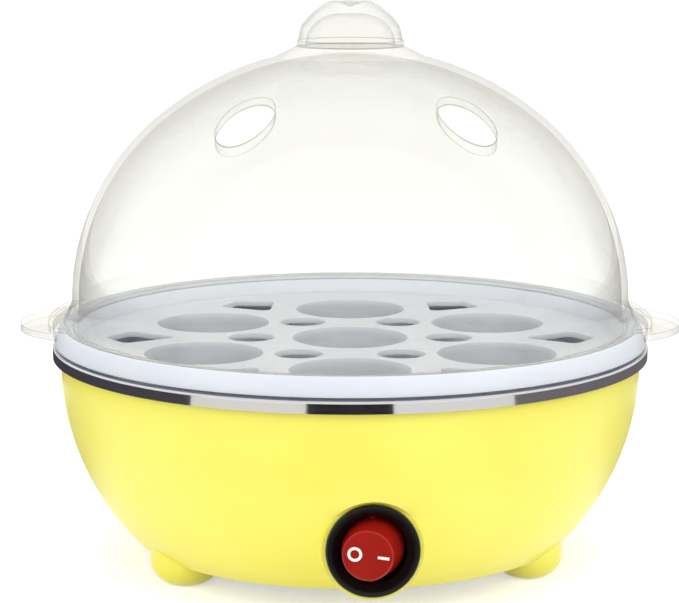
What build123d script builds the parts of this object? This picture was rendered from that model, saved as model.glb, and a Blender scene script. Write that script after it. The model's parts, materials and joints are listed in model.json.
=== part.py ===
"""Electric egg cooker: a clear domed lid over a pierced egg tray, on a steel pan in a bowl-shaped housing.

Millimetres. The origin is the middle of the table area under the cooker, +Z is up, the switch faces -Y.
"""
import os
from math import acos, atan2, cos, degrees, pi, radians, sin, sqrt, tan

from build123d import *

os.makedirs("parts", exist_ok=True)

# General
overrun = 30.0                  # how far a cut passes what it cuts
fit_clearance = 0.05            # a pin or screw in its hole, on each side
seat_clearance = 0.3            # loose pieces, on each side
loose_turn = -4.4               # degrees that the loose lid and tray are turned on the base

# Housing: an arc turned about the axis
housing_base_height = 6.5
bowl_widest_height = 53.9
bowl_widest_radius = 77.4
bowl_base_radius = 57.957       # at its lower edge
housing_wall = 2.2
housing_base_round = 1.0
floor_recess = 2.0              # the floor lies this far above the lower edge
shoulder_rise = 1.8             # housing's shoulder above its widest height
tongue_wall = 1.4               # thinned top edge that stands up inside the pan's rim
tongue_bevel = 0.75             # clears the bend in the pan's rim

# Feet moulded on the housing
foot_count = 3
foot_start_angle = -30.0
foot_edge_inset = 6.2           # from the bowl's lower edge in to the middle of a foot
foot_radius = 9.2
foot_round = 6.0
foot_wall = 3.2

# Steel pan
pan_sheet = 0.6
pan_wall_gap = 0.3              # between the pan's wall and the housing's top edge
works_height = 24.1             # room for the heater and its thermostat, from the floor to the pan
pan_corner_share = 0.766        # corner's radius against the pan's depth
pan_top_round = 1.2
pan_rim_height = 3.1            # turned-down rim, from its lower edge to its top
pan_rim_round = 0.6
pan_rim_offset = 5.35           # from the pan's inner wall to the rim's outer face
pan_rim_gap = 0.1               # under the rim, above the housing's shoulder

# Egg tray
tray_rim_height = 4.8           # outer flank of the rim
tray_rim_inset = 0.5            # from the pan's rim in to the tray's outer edge
tray_rim_slope = 1.6            # how far the flank leans in
tray_rim_land = 1.8             # width of the rim's flat top
tray_lip = 3.2                  # width of the outer edge that is clear of the pan's rim
tray_lip_gap = 0.8
tray_plate_drop = 5.14          # from the rim's top to the plate
tray_plate = 1.5
tray_wall = 1.2
egg_count = 6                   # eggs around the one in the middle
egg_circle_share = 0.5958       # of the plate's radius: 44 mm
egg_hole_share = 0.2099         # of the plate's radius: 15.5 mm
egg_collar_wall = 1.3
egg_collar_depth = 6.0
steam_circle_share = 0.3602
steam_hole_share = 0.0853
slot_inner_share = 0.6229
slot_outer_share = 0.8937
slot_width_share = 0.2437
slot_widest_share = 0.7         # how far along the slot it is widest
slot_round = 2.2

# Lid
lid_wall = 1.8
lid_foot_inset = 0.4            # from the tray's top edge in to the lid's foot
lid_flare = 2.8
lid_flare_height = 5.65
lid_apex_rise = 72.7            # dome's crown above the lid's foot
lid_arc_share = 0.94            # tighter arc's radius against the dome's rise or radius, whichever is less
lid_lip_depth = 1.2
lid_lip_wall = 1.2
ear_overhang = 11.5             # from the lid's foot to the ear's tip
ear_radius = 24.7
ear_thickness = 1.9
ear_drop = 2.35                 # from the tray's top down to the ear's underside
ear_wall = 1.2                  # joins the ear to the lid's foot, outside the tray's rim
vent_count = 2
vent_circle_share = 0.6375      # of the lid's radius
vent_spread = 71.2              # degrees between the two vents
vent_turn = 2.2                 # degrees that the vents are off the ears' cross axis
vent_radius = 7.5
pad_radius = 14.6               # flat pad under the knob
pad_foot_radius = 20.0          # where the pad runs out into the dome
pad_rise = 0.2                  # above the dome's crown

# Lid knob
knob_flange_radius = 14.2
knob_flange = 1.5
knob_base_radius = 13.9
knob_shoulder_radius = 13.1
knob_shoulder_height = 5.2
knob_height = 11.8
knob_bulge_radius = 10.3
knob_bulge_height = 8.6
knob_top_radius = 5.6
knob_wall = 1.8
dimple_radius = 4.4
dimple_depth = 1.5

# Bottom cover
cover_margin = 13.3             # from the bowl's lower edge in to the cover
cover_lap = 3.5                 # the cover's edge under the floor
cover_screw_inset = 7.0         # from the cover's edge in to its screws
cover_post_radius = 4.5
cover_post_height = 6.9
cover_slot_count = 8
cover_slot_start = 12.0         # from the cover's middle to the slots' inner ends
cover_slot_gap = 8.5            # from the slots' outer ends to the screws' circle
cover_slot_width = 3.2

# Screws: small self-tappers and machine screws
screw_radius = 1.45
screw_head_radius = 2.6
screw_head_height = 1.6
screw_slot_width = 0.8
cover_screw_head_radius = 2.9
cover_screw_length = 8.0

# Heater plate and the bridge that clamps it
heater_radius = 28.0
heater_thickness = 6.4
heater_edge = 0.8
bridge_sheet = 1.2
bridge_width = 16.0
bridge_end_gap = 4.0            # from the housing's wall to the bridge's end
bridge_corner = 3.0
lug_angle = 10.0
lug_overlap = 5.0               # how far the lugs reach over the bridge's ends
lug_height = 5.0
stud_gap = 8.0                  # from the heater's edge to the middle of a stud
stud_radius = 2.0
stud_end = 3.3                  # past the nut
washer_radius = 4.5
washer_thickness = 0.8
nut_radius = 4.04
nut_height = 3.2
heater_tab_overhang = 10.75     # from the plate's edge to the tab's end
heater_tab_depth = 4.05         # how far the tab sits in the plate
heater_tab_width = 6.0
heater_tab_drop = 4.0           # from the plate's top to the tab
heater_lead_overhang = 7.75     # from the plate's edge to where the leads meet the tabs

# Tabs and spade receptacles
tab_thickness = 0.8
tab_width = 4.8
spade_grip = 6.0
spade_neck = 1.5
spade_wall = 0.7
spade_barrel_radius = 1.9
spade_barrel_length = 5.0
spade_barrel_depth = 3.5

# Thermostat, under the heater plate towards the back
thermostat_offset = 18.0
thermostat_cap_radius = 8.0
thermostat_shoulder_radius = 8.8
thermostat_cap_height = 3.8
thermostat_body_radius = 7.6
thermostat_body_height = 6.4
thermostat_flange_length = 31.0
thermostat_flange_width = 11.0
thermostat_flange_sheet = 0.8
thermostat_screw_reach = 12.5
thermostat_screw_length = 5.0
thermostat_tab_root = 3.0
thermostat_tab_reach = 15.0
thermostat_rivet_radius = 1.6

# Thermal fuse, under the heater plate towards the front
fuse_offset = 17.0
sleeve_radius = 2.6
sleeve_bore_radius = 2.2
sleeve_half_length = 15.0
fuse_radius = 2.0
fuse_half_length = 5.5
fuse_lead_radius = 0.5
fuse_lead_reach = 12.0
clip_sheet = 0.7
clip_width = 6.0
clip_foot_reach = 9.0           # from the sleeve's middle to the foot's end
clip_screw_reach = 6.0
clip_mouth = 1.2                # the ring opens this far on the foot's side of its middle

# Terminal block, on the floor at the back
block_angle = 131.5             # about the axis, from +X
block_wall_gap = 12.1           # from the housing's wall to the block's middle
block_length = 15.0
block_width = 10.0
block_height = 9.0
pole_spacing = 8.0
pole_height = 4.5
insert_radius = 2.2
insert_bore_radius = 1.3
insert_length = 8.0
clamp_screw_radius = 1.0
clamp_screw_spacing = 5.0
block_boss_radius = 3.2
block_boss_depth = 1.5

# Rocker switch
switch_height = 20.6
switch_proud = 3.4              # boss's face in front of the bowl at that height
switch_boss_depth = 15.0
switch_boss_radius = 12.5
switch_boss_wall = 1.6
switch_panel = 2.2
switch_cutout_radius = 10.1
bezel_radius = 11.5
bezel_thickness = 2.0
bezel_round = 0.7
bezel_chamfer = 1.7
switch_body_radius = 9.9
switch_body_depth = 14.5
switch_bore_radius = 8.4
switch_base = 1.5
wing_angle = 30.0
wing_reach = 0.7
wing_length = 3.6
pivot_depth = 5.0               # rocker's pivot behind the bezel's front
pivot_pin_radius = 1.2
pivot_pin_end = 9.6
rocker_tilt = 12.0              # degrees to each side
rocker_radius = 8.0
rocker_skirt = 1.0
rocker_face_radius = 6.2
rocker_face_height = 8.2
rocker_face_round = 0.4
rocker_wall = 1.4
guide_radius = 3.4
guide_bore_radius = 2.3
guide_drop = 3.5
plunger_head_radius = 2.2
plunger_head_low = -2.5
plunger_head_high = 0.5
plunger_nose_radius = 1.3
plunger_reach = 7.6
spring_radius = 1.7
spring_wire_radius = 0.3
spring_turns = 5
spring_end_gap = 0.03
contact_x = -6.0
contact_tab_length = 8.0
contact_head = 2.4
bridge_pivot_height = 1.1       # contact bridge's pivot above the switch's base
contact_tilt = 6.0              # degrees to each side
contact_half_length = 7.3
contact_width = 4.4
contact_sheet = 0.8
contact_lift = 0.35
contact_ridge_radius = 0.6

# Cord gland in the back wall
gland_height = 20.4
gland_proud = 2.9               # boss's face behind the bowl at that height
gland_boss_depth = 13.5
gland_boss_radius = 8.5
gland_boss_wall = 2.0
gland_panel = 3.0
gland_radius = 5.0
gland_bore_radius = 3.3
gland_flange_radius = 6.8
gland_flange = 1.8
gland_lip = 0.5
gland_tail = 2.0

# Leads: straight runs at their ends, and the bends between
lead_radius = 1.2
switch_lead_run = 10.45
block_lead_run = 14.0
thermostat_lead_run = 13.0
fuse_lead_run = 7.0
heater_lead_drop = 9.5
live_bends = [(-42.0, -8.0, 18.4), (-44.0, 10.0, 15.8)]
switched_bends = [(27.0, -14.0, 18.2), (32.0, 8.0, 17.8)]
neutral_bends = [(-29.0, 2.0, 16.9)]

# Heights and places worked out from the sizes above
bowl_inset = bowl_widest_radius - bowl_base_radius
bowl_rise = bowl_widest_height - housing_base_height
bowl_arc_radius = (bowl_inset ** 2 + bowl_rise ** 2) / (2 * bowl_inset)
bowl_centre_radius = bowl_widest_radius - bowl_arc_radius
floor_height = housing_base_height + floor_recess
floor_top_height = floor_height + housing_wall


def bowl_radius(height, inset=0):
    """Radius of the bowl's surface at a height, inset towards its inside."""
    return bowl_centre_radius + sqrt((bowl_arc_radius - inset) ** 2 - (height - bowl_widest_height) ** 2)


foot_circle_radius = bowl_radius(housing_base_height) - foot_edge_inset
shoulder_height = bowl_widest_height + shoulder_rise
pan_rim_foot_height = shoulder_height + pan_rim_gap
pan_flange_height = pan_rim_foot_height + pan_rim_height
tongue_top_height = pan_flange_height - pan_sheet
tongue_bevel_height = tongue_top_height - tongue_bevel
tongue_radius = bowl_radius(shoulder_height, housing_wall) + tongue_wall
pan_wall_radius = bowl_radius(tongue_top_height, housing_wall) - pan_wall_gap - pan_sheet
pan_rim_radius = pan_wall_radius + pan_rim_offset
pan_under_height = floor_top_height + works_height
pan_floor_height = pan_under_height + pan_sheet
pan_corner_radius = pan_corner_share * (pan_flange_height - pan_floor_height)
tray_rim_foot_radius = pan_rim_radius - tray_rim_inset
tray_rim_top_radius = tray_rim_foot_radius - tray_rim_slope
tray_lip_height = pan_flange_height + tray_lip_gap
tray_top_height = tray_lip_height + tray_rim_height
tray_plate_top_height = tray_top_height - tray_plate_drop
tray_plate_under_height = tray_plate_top_height - tray_plate
lid_foot_radius = tray_rim_top_radius - lid_foot_inset
lid_radius = lid_foot_radius - lid_flare
lid_wall_foot_height = tray_top_height + lid_flare_height
lid_apex_height = tray_top_height + lid_apex_rise
pad_top_height = lid_apex_height + pad_rise
cover_radius = bowl_radius(housing_base_height, housing_wall) - cover_margin
cover_opening_radius = cover_radius - cover_lap
cover_screw_circle = cover_radius - cover_screw_inset
cover_slot_length = cover_screw_circle - cover_slot_gap - cover_slot_start
cover_slot_circle = cover_slot_start + cover_slot_length / 2
screw_hole_radius = screw_radius + fit_clearance
heater_under_height = pan_under_height - heater_thickness
bridge_under_height = heater_under_height - bridge_sheet
bridge_half_length = bowl_radius(heater_under_height, housing_wall) - bridge_end_gap
lug_inner_radius = bridge_half_length - lug_overlap
stud_reach = heater_radius + stud_gap
stud_length = heater_thickness + bridge_sheet + washer_thickness + nut_height + stud_end
heater_tab_edge = sqrt(heater_radius ** 2 - fuse_offset ** 2)
heater_tab_inset = heater_tab_edge - heater_tab_depth
heater_tab_reach = heater_tab_edge + heater_tab_overhang
heater_lead_reach = heater_tab_edge + heater_lead_overhang
heater_tab_height = pan_under_height - heater_tab_drop - tab_thickness
thermostat_tab_height = heater_under_height - thermostat_cap_height - thermostat_body_height
thermostat_lead_height = thermostat_tab_height - tab_thickness / 2
fuse_height = heater_under_height - sleeve_radius
block_distance = bowl_radius(floor_top_height, housing_wall) - block_wall_gap
block_x = block_distance * cos(radians(block_angle))
block_y = block_distance * sin(radians(block_angle))
block_top_height = floor_top_height + block_height
pole_centre_height = floor_top_height + pole_height
switch_face = bowl_radius(switch_height) + switch_proud
switch_boss_root = switch_face - switch_boss_depth
bezel_front = switch_face + bezel_thickness
pivot_distance = bezel_front - pivot_depth
switch_rear = switch_face - switch_body_depth
switch_floor = switch_rear + switch_base
contact_pivot = (0, -switch_floor - bridge_pivot_height, switch_height)
contact_tab_tip = switch_rear - contact_tab_length
contact_turn = radians(contact_tilt)
side_contact_far = contact_head / 2 - contact_x
side_contact_drop = side_contact_far * tan(contact_turn) - contact_lift / cos(contact_turn)
side_contact_height = bridge_pivot_height - side_contact_drop - fit_clearance
gland_face = bowl_radius(gland_height) + gland_proud
gland_boss_root = gland_face - gland_boss_depth


def level(height):
    """Level plane at a height."""
    return Plane.XY.offset(height)


def radial_plane(angle):
    """Upright plane through the axis: x runs outward at the angle, y runs up."""
    turn = radians(angle)
    return Plane(origin=(0, 0, 0), x_dir=(cos(turn), sin(turn), 0), z_dir=(sin(turn), -cos(turn), 0))


def front_plane(distance, height):
    """Upright plane that faces the front, this far from the axis."""
    return Plane(origin=(0, -distance, height), x_dir=(1, 0, 0), z_dir=(0, -1, 0))


def back_plane(distance, height):
    """Upright plane that faces the back, this far from the axis."""
    return Plane(origin=(0, distance, height), x_dir=(-1, 0, 0), z_dir=(0, 1, 0))


def bowl_arc(low, high, inset=0):
    """Arc of the bowl's surface between two heights."""
    middle = (low + high) / 2
    ThreePointArc(
        (bowl_radius(low, inset), low),
        (bowl_radius(middle, inset), middle),
        (bowl_radius(high, inset), high),
    )


# Housing
with BuildPart() as housing:
    with BuildSketch(Plane.XZ):
        with BuildLine():
            bowl_arc(housing_base_height, shoulder_height)
            Polyline(
                (bowl_radius(shoulder_height), shoulder_height),
                (tongue_radius, shoulder_height),
                (tongue_radius, tongue_top_height),
                (bowl_radius(tongue_bevel_height, housing_wall) + tongue_bevel, tongue_top_height),
                (bowl_radius(tongue_bevel_height, housing_wall), tongue_bevel_height),
            )
            bowl_arc(floor_top_height, tongue_bevel_height, housing_wall)
            Polyline(
                (bowl_radius(floor_top_height, housing_wall), floor_top_height),
                (cover_opening_radius, floor_top_height),
                (cover_opening_radius, floor_height),
                (bowl_radius(floor_height, housing_wall), floor_height),
            )
            bowl_arc(housing_base_height, floor_height, housing_wall)
            Line(
                (bowl_radius(housing_base_height, housing_wall), housing_base_height),
                (bowl_radius(housing_base_height), housing_base_height),
            )
        make_face()
    revolve(axis=Axis.Z)
    fillet(housing.edges().group_by(Axis.Z)[0].sort_by(SortBy.LENGTH)[-1], housing_base_round)
    # Feet, hollow from above
    with BuildSketch():
        with PolarLocations(radius=foot_circle_radius, count=foot_count, start_angle=foot_start_angle):
            Circle(foot_radius)
    extrude(amount=floor_top_height)
    fillet(housing.edges().group_by(Axis.Z)[0], foot_round)
    with BuildSketch(level(housing_wall)):
        with PolarLocations(radius=foot_circle_radius, count=foot_count, start_angle=foot_start_angle):
            Circle(foot_radius - foot_wall)
    extrude(amount=floor_top_height - housing_wall, mode=Mode.SUBTRACT)
    # Switch boss: upright face, flush with the bowl at its top
    with BuildSketch(front_plane(switch_boss_root, switch_height)):
        Circle(switch_boss_radius)
    extrude(amount=switch_face - switch_boss_root)
    with BuildSketch(front_plane(switch_face, switch_height)):
        Circle(switch_boss_radius)
    extrude(amount=overrun, mode=Mode.SUBTRACT)
    with BuildSketch(front_plane(switch_face, switch_height)):
        Circle(switch_cutout_radius)
    extrude(amount=-switch_panel, mode=Mode.SUBTRACT)
    with BuildSketch(front_plane(switch_face - switch_panel, switch_height)):
        Circle(switch_boss_radius - switch_boss_wall)
    extrude(amount=-overrun, mode=Mode.SUBTRACT)
    # Gland boss at the back
    with BuildSketch(back_plane(gland_boss_root, gland_height)):
        Circle(gland_boss_radius)
    extrude(amount=gland_face - gland_boss_root)
    with BuildSketch(back_plane(gland_face, gland_height)):
        Circle(gland_boss_radius)
    extrude(amount=overrun, mode=Mode.SUBTRACT)
    with BuildSketch(back_plane(gland_face, gland_height)):
        Circle(gland_radius)
    extrude(amount=-gland_panel, mode=Mode.SUBTRACT)
    with BuildSketch(back_plane(gland_face - gland_panel, gland_height)):
        Circle(gland_boss_radius - gland_boss_wall)
    extrude(amount=-overrun, mode=Mode.SUBTRACT)
    # Lugs that the bridge pulls up against
    for side in (0, 180):
        with BuildSketch(radial_plane(side - lug_angle / 2)):
            with BuildLine():
                bowl_arc(heater_under_height, heater_under_height + lug_height, housing_wall / 2)
                Polyline(
                    (bowl_radius(heater_under_height, housing_wall / 2), heater_under_height),
                    (lug_inner_radius, heater_under_height),
                    (lug_inner_radius, heater_under_height + lug_height),
                    (
                        bowl_radius(heater_under_height + lug_height, housing_wall / 2),
                        heater_under_height + lug_height,
                    ),
                )
            make_face()
        revolve(axis=Axis.Z, revolution_arc=lug_angle)
    # Posts for the cover's screws
    with BuildSketch(level(floor_height)):
        with PolarLocations(radius=cover_screw_circle, count=foot_count, start_angle=foot_start_angle):
            Circle(cover_post_radius)
    extrude(amount=cover_post_height)
    with BuildSketch(level(floor_height)):
        with PolarLocations(radius=cover_screw_circle, count=foot_count, start_angle=foot_start_angle):
            Circle(screw_hole_radius)
    extrude(amount=cover_post_height, mode=Mode.SUBTRACT)
    # Boss under the floor for the terminal block's screw
    with BuildSketch(level(floor_height)):
        with Locations((block_x, block_y)):
            Circle(block_boss_radius)
    extrude(amount=-block_boss_depth)
    with BuildSketch(level(floor_top_height)):
        with Locations((block_x, block_y)):
            Circle(screw_hole_radius)
    extrude(amount=-housing_wall - block_boss_depth, mode=Mode.SUBTRACT)
housing.part.label = "housing"
export_step(housing.part, "parts/housing.step")

# Bottom cover, with slots that let air in
with BuildPart() as bottom_cover:
    with BuildSketch(level(housing_base_height)):
        Circle(cover_radius)
        with PolarLocations(radius=cover_slot_circle, count=cover_slot_count):
            SlotOverall(cover_slot_length, cover_slot_width, mode=Mode.SUBTRACT)
    extrude(amount=floor_recess)
    with Locations(Plane(origin=(0, 0, housing_base_height), x_dir=(1, 0, 0), z_dir=(0, 0, -1))):
        with PolarLocations(radius=cover_screw_circle, count=foot_count, start_angle=-foot_start_angle):
            CounterSinkHole(screw_hole_radius, cover_screw_head_radius, depth=floor_recess)
bottom_cover.part.label = "bottom_cover"
export_step(bottom_cover.part, "parts/bottom_cover.step")

# Cover screws, countersunk
countersink_depth = cover_screw_head_radius - screw_radius
with BuildPart() as cover_screws:
    with BuildSketch(level(housing_base_height + fit_clearance)):
        with PolarLocations(radius=cover_screw_circle, count=foot_count, start_angle=foot_start_angle):
            Circle(screw_radius)
    extrude(amount=cover_screw_length)
    with Locations((0, 0, housing_base_height + fit_clearance)):
        with PolarLocations(radius=cover_screw_circle, count=foot_count, start_angle=foot_start_angle):
            Cone(
                cover_screw_head_radius - fit_clearance,
                screw_radius,
                countersink_depth,
                align=(Align.CENTER, Align.CENTER, Align.MIN),
            )
    with BuildSketch(level(housing_base_height + fit_clearance)):
        with PolarLocations(radius=cover_screw_circle, count=foot_count, start_angle=foot_start_angle):
            Rectangle(2 * screw_radius, screw_slot_width)
            Rectangle(screw_slot_width, 2 * screw_radius)
    extrude(amount=screw_slot_width, mode=Mode.SUBTRACT)
cover_screws.part.label = "cover_screws"
export_step(cover_screws.part, "parts/cover_screws.step")

# Steel pan: dished sheet with its rim turned down over the housing's edge
pan_corner_middle = pan_wall_radius - pan_corner_radius
pan_round_middle = pan_wall_radius + pan_top_round
pan_round_height = pan_flange_height - pan_top_round
rim_round_middle = pan_rim_radius - pan_rim_round
rim_round_height = pan_flange_height - pan_rim_round
with BuildPart() as heating_pan:
    with BuildSketch(Plane.XZ):
        with BuildLine():
            Line((0, pan_floor_height), (pan_corner_middle, pan_floor_height))
            CenterArc((pan_corner_middle, pan_floor_height + pan_corner_radius), pan_corner_radius, 270, 90)
            Line(
                (pan_wall_radius, pan_floor_height + pan_corner_radius),
                (pan_wall_radius, pan_round_height),
            )
            CenterArc((pan_round_middle, pan_round_height), pan_top_round, 90, 90)
            Line((pan_round_middle, pan_flange_height), (rim_round_middle, pan_flange_height))
            CenterArc((rim_round_middle, rim_round_height), pan_rim_round, 0, 90)
            Polyline(
                (pan_rim_radius, rim_round_height),
                (pan_rim_radius, pan_rim_foot_height),
                (pan_rim_radius - pan_sheet, pan_rim_foot_height),
                (pan_rim_radius - pan_sheet, pan_flange_height - pan_sheet),
                (pan_round_middle, pan_flange_height - pan_sheet),
            )
            CenterArc((pan_round_middle, pan_round_height), pan_top_round - pan_sheet, 90, 90)
            Line(
                (pan_wall_radius + pan_sheet, pan_round_height),
                (pan_wall_radius + pan_sheet, pan_floor_height + pan_corner_radius),
            )
            CenterArc(
                (pan_corner_middle, pan_floor_height + pan_corner_radius),
                pan_corner_radius + pan_sheet,
                270,
                90,
            )
            Polyline((pan_corner_middle, pan_under_height), (0, pan_under_height), (0, pan_floor_height))
        make_face()
    revolve(axis=Axis.Z)
heating_pan.part.label = "heating_pan"
export_step(heating_pan.part, "parts/heating_pan.step")

# Studs welded under the pan
with BuildPart() as pan_studs:
    with BuildSketch(level(pan_under_height)):
        with PolarLocations(radius=stud_reach, count=2):
            Circle(stud_radius)
    extrude(amount=-stud_length)
pan_studs.part.label = "pan_studs"
export_step(pan_studs.part, "parts/pan_studs.step")

# Heater plate: cast aluminium with the element sealed inside
heater_screw_places = [
    (thermostat_screw_reach, thermostat_offset),
    (-thermostat_screw_reach, thermostat_offset),
    (0, -fuse_offset - clip_screw_reach),
]
with BuildPart() as heater_plate:
    with BuildSketch(level(heater_under_height)):
        Circle(heater_radius)
    extrude(amount=heater_thickness)
    chamfer(heater_plate.edges().group_by(Axis.Z)[0], heater_edge)
    with BuildSketch(level(heater_under_height)):
        with Locations(*heater_screw_places):
            Circle(screw_hole_radius)
    extrude(amount=thermostat_screw_length, mode=Mode.SUBTRACT)
    for side in (1, -1):
        with BuildSketch(level(heater_tab_height - fit_clearance)):
            with Locations((side * (heater_tab_inset + heater_radius) / 2, -fuse_offset)):
                Rectangle(
                    heater_radius - heater_tab_inset + 2 * fit_clearance,
                    heater_tab_width + 2 * fit_clearance,
                )
        extrude(amount=tab_thickness + 2 * fit_clearance, mode=Mode.SUBTRACT)
heater_plate.part.label = "heater_plate"
export_step(heater_plate.part, "parts/heater_plate.step")

# Heater terminals
with BuildPart() as heater_terminals:
    with BuildSketch(level(heater_tab_height)):
        with Locations(
            ((heater_tab_inset + heater_tab_reach) / 2, -fuse_offset),
            (-(heater_tab_inset + heater_tab_reach) / 2, -fuse_offset),
        ):
            Rectangle(heater_tab_reach - heater_tab_inset, heater_tab_width)
    extrude(amount=tab_thickness)
heater_terminals.part.label = "heater_terminals"
export_step(heater_terminals.part, "parts/heater_terminals.step")

# Bridge strap across the heater, pulled up against the housing's lugs
with BuildPart() as pan_bridge:
    with BuildSketch(level(bridge_under_height)):
        RectangleRounded(2 * bridge_half_length, bridge_width, bridge_corner)
        with PolarLocations(radius=stud_reach, count=2):
            Circle(stud_radius + seat_clearance, mode=Mode.SUBTRACT)
    extrude(amount=bridge_sheet)
pan_bridge.part.label = "pan_bridge"
export_step(pan_bridge.part, "parts/pan_bridge.step")

# Washers and nuts on the studs
with BuildPart() as bridge_washers:
    with BuildSketch(level(bridge_under_height)):
        with PolarLocations(radius=stud_reach, count=2):
            Circle(washer_radius)
            Circle(stud_radius + seat_clearance / 2, mode=Mode.SUBTRACT)
    extrude(amount=-washer_thickness)
bridge_washers.part.label = "bridge_washers"
export_step(bridge_washers.part, "parts/bridge_washers.step")

with BuildPart() as bridge_nuts:
    with BuildSketch(level(bridge_under_height - washer_thickness)):
        with PolarLocations(radius=stud_reach, count=2):
            RegularPolygon(nut_radius, 6)
            Circle(stud_radius + fit_clearance, mode=Mode.SUBTRACT)
    extrude(amount=-nut_height)
bridge_nuts.part.label = "bridge_nuts"
export_step(bridge_nuts.part, "parts/bridge_nuts.step")

# Thermostat: cap against the heater, held by its flange
with BuildPart() as thermostat_cap:
    with BuildSketch(level(heater_under_height)):
        with Locations((0, thermostat_offset)):
            Circle(thermostat_cap_radius)
    extrude(amount=-thermostat_flange_sheet)
    with BuildSketch(level(heater_under_height - thermostat_flange_sheet)):
        with Locations((0, thermostat_offset)):
            Circle(thermostat_shoulder_radius)
    extrude(amount=thermostat_flange_sheet - thermostat_cap_height)
thermostat_cap.part.label = "thermostat_cap"
export_step(thermostat_cap.part, "parts/thermostat_cap.step")

with BuildPart() as thermostat_flange:
    with BuildSketch(level(heater_under_height)):
        with Locations((0, thermostat_offset)):
            SlotOverall(thermostat_flange_length, thermostat_flange_width)
            Circle(thermostat_shoulder_radius)
            Circle(thermostat_cap_radius + fit_clearance, mode=Mode.SUBTRACT)
        with Locations(heater_screw_places[0], heater_screw_places[1]):
            Circle(screw_hole_radius, mode=Mode.SUBTRACT)
    extrude(amount=-thermostat_flange_sheet)
thermostat_flange.part.label = "thermostat_flange"
export_step(thermostat_flange.part, "parts/thermostat_flange.step")

with BuildPart() as thermostat_body:
    with BuildSketch(level(heater_under_height - thermostat_cap_height)):
        with Locations((0, thermostat_offset)):
            Circle(thermostat_body_radius)
    extrude(amount=-thermostat_body_height)
thermostat_body.part.label = "thermostat_body"
export_step(thermostat_body.part, "parts/thermostat_body.step")

with BuildPart() as thermostat_terminals:
    for side in (1, -1):
        with BuildSketch(level(thermostat_tab_height)):
            with Locations((side * (thermostat_tab_root + thermostat_tab_reach) / 2, thermostat_offset)):
                Rectangle(thermostat_tab_reach - thermostat_tab_root, tab_width)
        extrude(amount=-tab_thickness)
        with BuildSketch(level(thermostat_tab_height - tab_thickness)):
            with Locations((side * (thermostat_tab_root + thermostat_rivet_radius), thermostat_offset)):
                Circle(thermostat_rivet_radius)
        extrude(amount=-tab_thickness)
thermostat_terminals.part.label = "thermostat_terminals"
export_step(thermostat_terminals.part, "parts/thermostat_terminals.step")


def pan_head_screw(place, head_height, length):
    """Pan-head screw that points up, with a cross slot: the head's top side is at the given height."""
    with BuildPart() as screw:
        with BuildSketch(level(head_height)):
            with Locations(place):
                Circle(screw_head_radius)
        extrude(amount=-screw_head_height)
        fillet(screw.edges().group_by(Axis.Z)[0], screw_head_height / 2)
        with BuildSketch(level(head_height)):
            with Locations(place):
                Circle(screw_radius)
        extrude(amount=length)
        with BuildSketch(level(head_height - screw_head_height)):
            with Locations(place):
                Rectangle(2 * screw_radius, screw_slot_width)
                Rectangle(screw_slot_width, 2 * screw_radius)
        extrude(amount=screw_slot_width, mode=Mode.SUBTRACT)
    return screw.part


flange_under_height = heater_under_height - thermostat_flange_sheet
thermostat_screw_solids = [
    pan_head_screw(place, flange_under_height, thermostat_screw_length) for place in heater_screw_places[:2]
]
with BuildPart() as thermostat_screws:
    add(thermostat_screw_solids)
thermostat_screws.part.label = "thermostat_screws"
export_step(thermostat_screws.part, "parts/thermostat_screws.step")

# Thermal fuse in its sleeve, held up to the heater by a clip
fuse_plane = Plane(origin=(0, -fuse_offset, fuse_height), x_dir=(0, 1, 0), z_dir=(1, 0, 0))
with BuildPart() as thermal_fuse:
    with BuildSketch(fuse_plane):
        Circle(fuse_radius)
    extrude(amount=fuse_half_length, both=True)
    with BuildSketch(fuse_plane):
        Circle(fuse_lead_radius)
    extrude(amount=fuse_lead_reach, both=True)
thermal_fuse.part.label = "thermal_fuse"
export_step(thermal_fuse.part, "parts/thermal_fuse.step")

with BuildPart() as fuse_sleeve:
    with BuildSketch(fuse_plane):
        Circle(sleeve_radius - fit_clearance)
        Circle(sleeve_bore_radius, mode=Mode.SUBTRACT)
    extrude(amount=sleeve_half_length, both=True)
fuse_sleeve.part.label = "fuse_sleeve"
export_step(fuse_sleeve.part, "parts/fuse_sleeve.step")

clip_ring_radius = sleeve_radius + clip_sheet
with BuildPart() as fuse_clip:
    with BuildSketch(fuse_plane):
        Circle(clip_ring_radius)
        with Locations((-clip_foot_reach / 2, sleeve_radius - clip_sheet / 2)):
            Rectangle(clip_foot_reach, clip_sheet)
        Circle(sleeve_radius, mode=Mode.SUBTRACT)
        with Locations((0, sleeve_radius + overrun / 2)):
            Rectangle(2 * overrun, overrun, mode=Mode.SUBTRACT)
        with Locations((overrun / 2 - clip_mouth, overrun / 2)):
            Rectangle(overrun, overrun, mode=Mode.SUBTRACT)
    extrude(amount=clip_width / 2, both=True)
    with BuildSketch(level(heater_under_height)):
        with Locations(heater_screw_places[2]):
            Circle(screw_hole_radius)
    extrude(amount=-clip_sheet, mode=Mode.SUBTRACT)
fuse_clip.part.label = "fuse_clip"
export_step(fuse_clip.part, "parts/fuse_clip.step")

clip_under_height = heater_under_height - clip_sheet
clip_screw_solid = pan_head_screw(heater_screw_places[2], clip_under_height, thermostat_screw_length)
with BuildPart() as fuse_clip_screw:
    add(clip_screw_solid)
fuse_clip_screw.part.label = "fuse_clip_screw"
export_step(fuse_clip_screw.part, "parts/fuse_clip_screw.step")

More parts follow.
